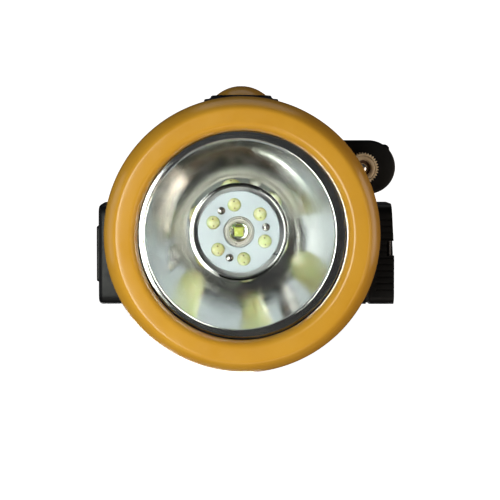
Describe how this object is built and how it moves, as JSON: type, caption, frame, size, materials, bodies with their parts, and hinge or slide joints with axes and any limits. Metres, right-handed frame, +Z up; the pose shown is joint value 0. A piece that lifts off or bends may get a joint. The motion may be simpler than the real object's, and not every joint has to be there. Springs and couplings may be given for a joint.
{
  "type": "miner's cap lamp",
  "caption": "Cordless cap lamp: round bezel with clear lens over a parabolic reflector and LED cluster, top push button, side charging contact, transverse battery case and tilting helmet clip.",
  "frame": {"origin": "on the rear face of the clip's steel blade, where it bears on the helmet, level with the optical axis", "axes": "+Z up; the lamp shines along -Y; +X is to the right as seen from the front, and the hinge pin lies along X"},
  "size_m": [0.0796, 0.0666, 0.073],
  "materials": {
    "yellow_plastic": "satin moulded yellow plastic with a fine grain",
    "clear_lens": "clear polycarbonate, polished",
    "clear_dome": "clear silicone",
    "black_rubber": "matt",
    "reflector_metal": "vacuum metallised plastic, mirror",
    "plate_white": "pale blue-grey, satin",
    "phosphor_resin": "yellow-green resin dome",
    "phosphor_die": "yellow-green phosphor",
    "led_ceramic": "white moulded body",
    "bare_aluminium": "machined",
    "board_green": "solder mask",
    "black_shell": "fine moulded grain",
    "black_collar": "smooth",
    "cell_wrap": "blue shrink film over a steel can",
    "black_part": "moulded epoxy",
    "white_plastic": "smooth",
    "brass": "turned and knurled",
    "contact_steel": "plated",
    "spring_steel": "zinc plated",
    "screw_steel": "zinc plated"
  },
  "bodies": {
    "clip": {"clip_base": "black_shell", "clip_blade": "spring_steel", "clip_rivets": "screw_steel", "hinge_pin": "screw_steel", "hinge_circlips": "screw_steel"},
    "lamp": {"bezel": "yellow_plastic", "bezel_lock_screw": "screw_steel", "lens": "clear_lens", "lens_gasket": "black_rubber", "reflector": "reflector_metal", "led_plate": "plate_white", "plate_screws": "screw_steel", "aux_board": "board_green", "aux_leds": "phosphor_resin", "main_led_star": "bare_aluminium", "main_led_body": "led_ceramic", "main_led_die": "phosphor_die", "main_led_lens": "clear_dome", "heat_sink": "bare_aluminium", "heat_sink_screws": "screw_steel", "lamp_housing": "black_shell", "housing_oring": "black_rubber", "battery_case": "black_shell", "case_screws": "screw_steel", "battery_cap": "black_shell", "cap_gasket": "black_rubber", "cap_screws": "screw_steel", "lanyard_pin": "contact_steel", "battery_cell": "cell_wrap", "cell_contact": "contact_steel", "cell_spring": "spring_steel", "rear_cover": "black_shell", "cover_gasket": "black_rubber", "cover_screws": "screw_steel", "driver_board": "board_green", "board_inductor": "black_part", "board_capacitor": "bare_aluminium", "board_chips": "black_part", "switch_board": "board_green", "switch_board_screws": "screw_steel", "switch_body": "black_part", "button_spring": "spring_steel", "button_collar": "black_collar", "button_seal": "black_rubber", "charge_socket": "brass", "charge_nut": "brass", "charge_insulator": "black_collar", "charge_stud": "contact_steel", "hinge_washers": "brass"},
    "button": {"button_cap": "yellow_plastic", "button_plunger": "white_plastic", "switch_stem": "white_plastic"}
  },
  "joints": [
    {"name": "head_tilt", "type": "hinge", "parent": "clip", "child": "lamp", "pos_m": [0, -0.0105, -0.0238], "axis": [1, 0, 0], "range_deg": [0, 30]},
    {"name": "button_press", "type": "slide", "parent": "lamp", "child": "button", "axis": [0, 0, -1], "range_m": [0, 0.001], "stiffness_N_per_m": 900, "springref_m": -0.001, "deforming": ["button_spring"]}
  ]
}
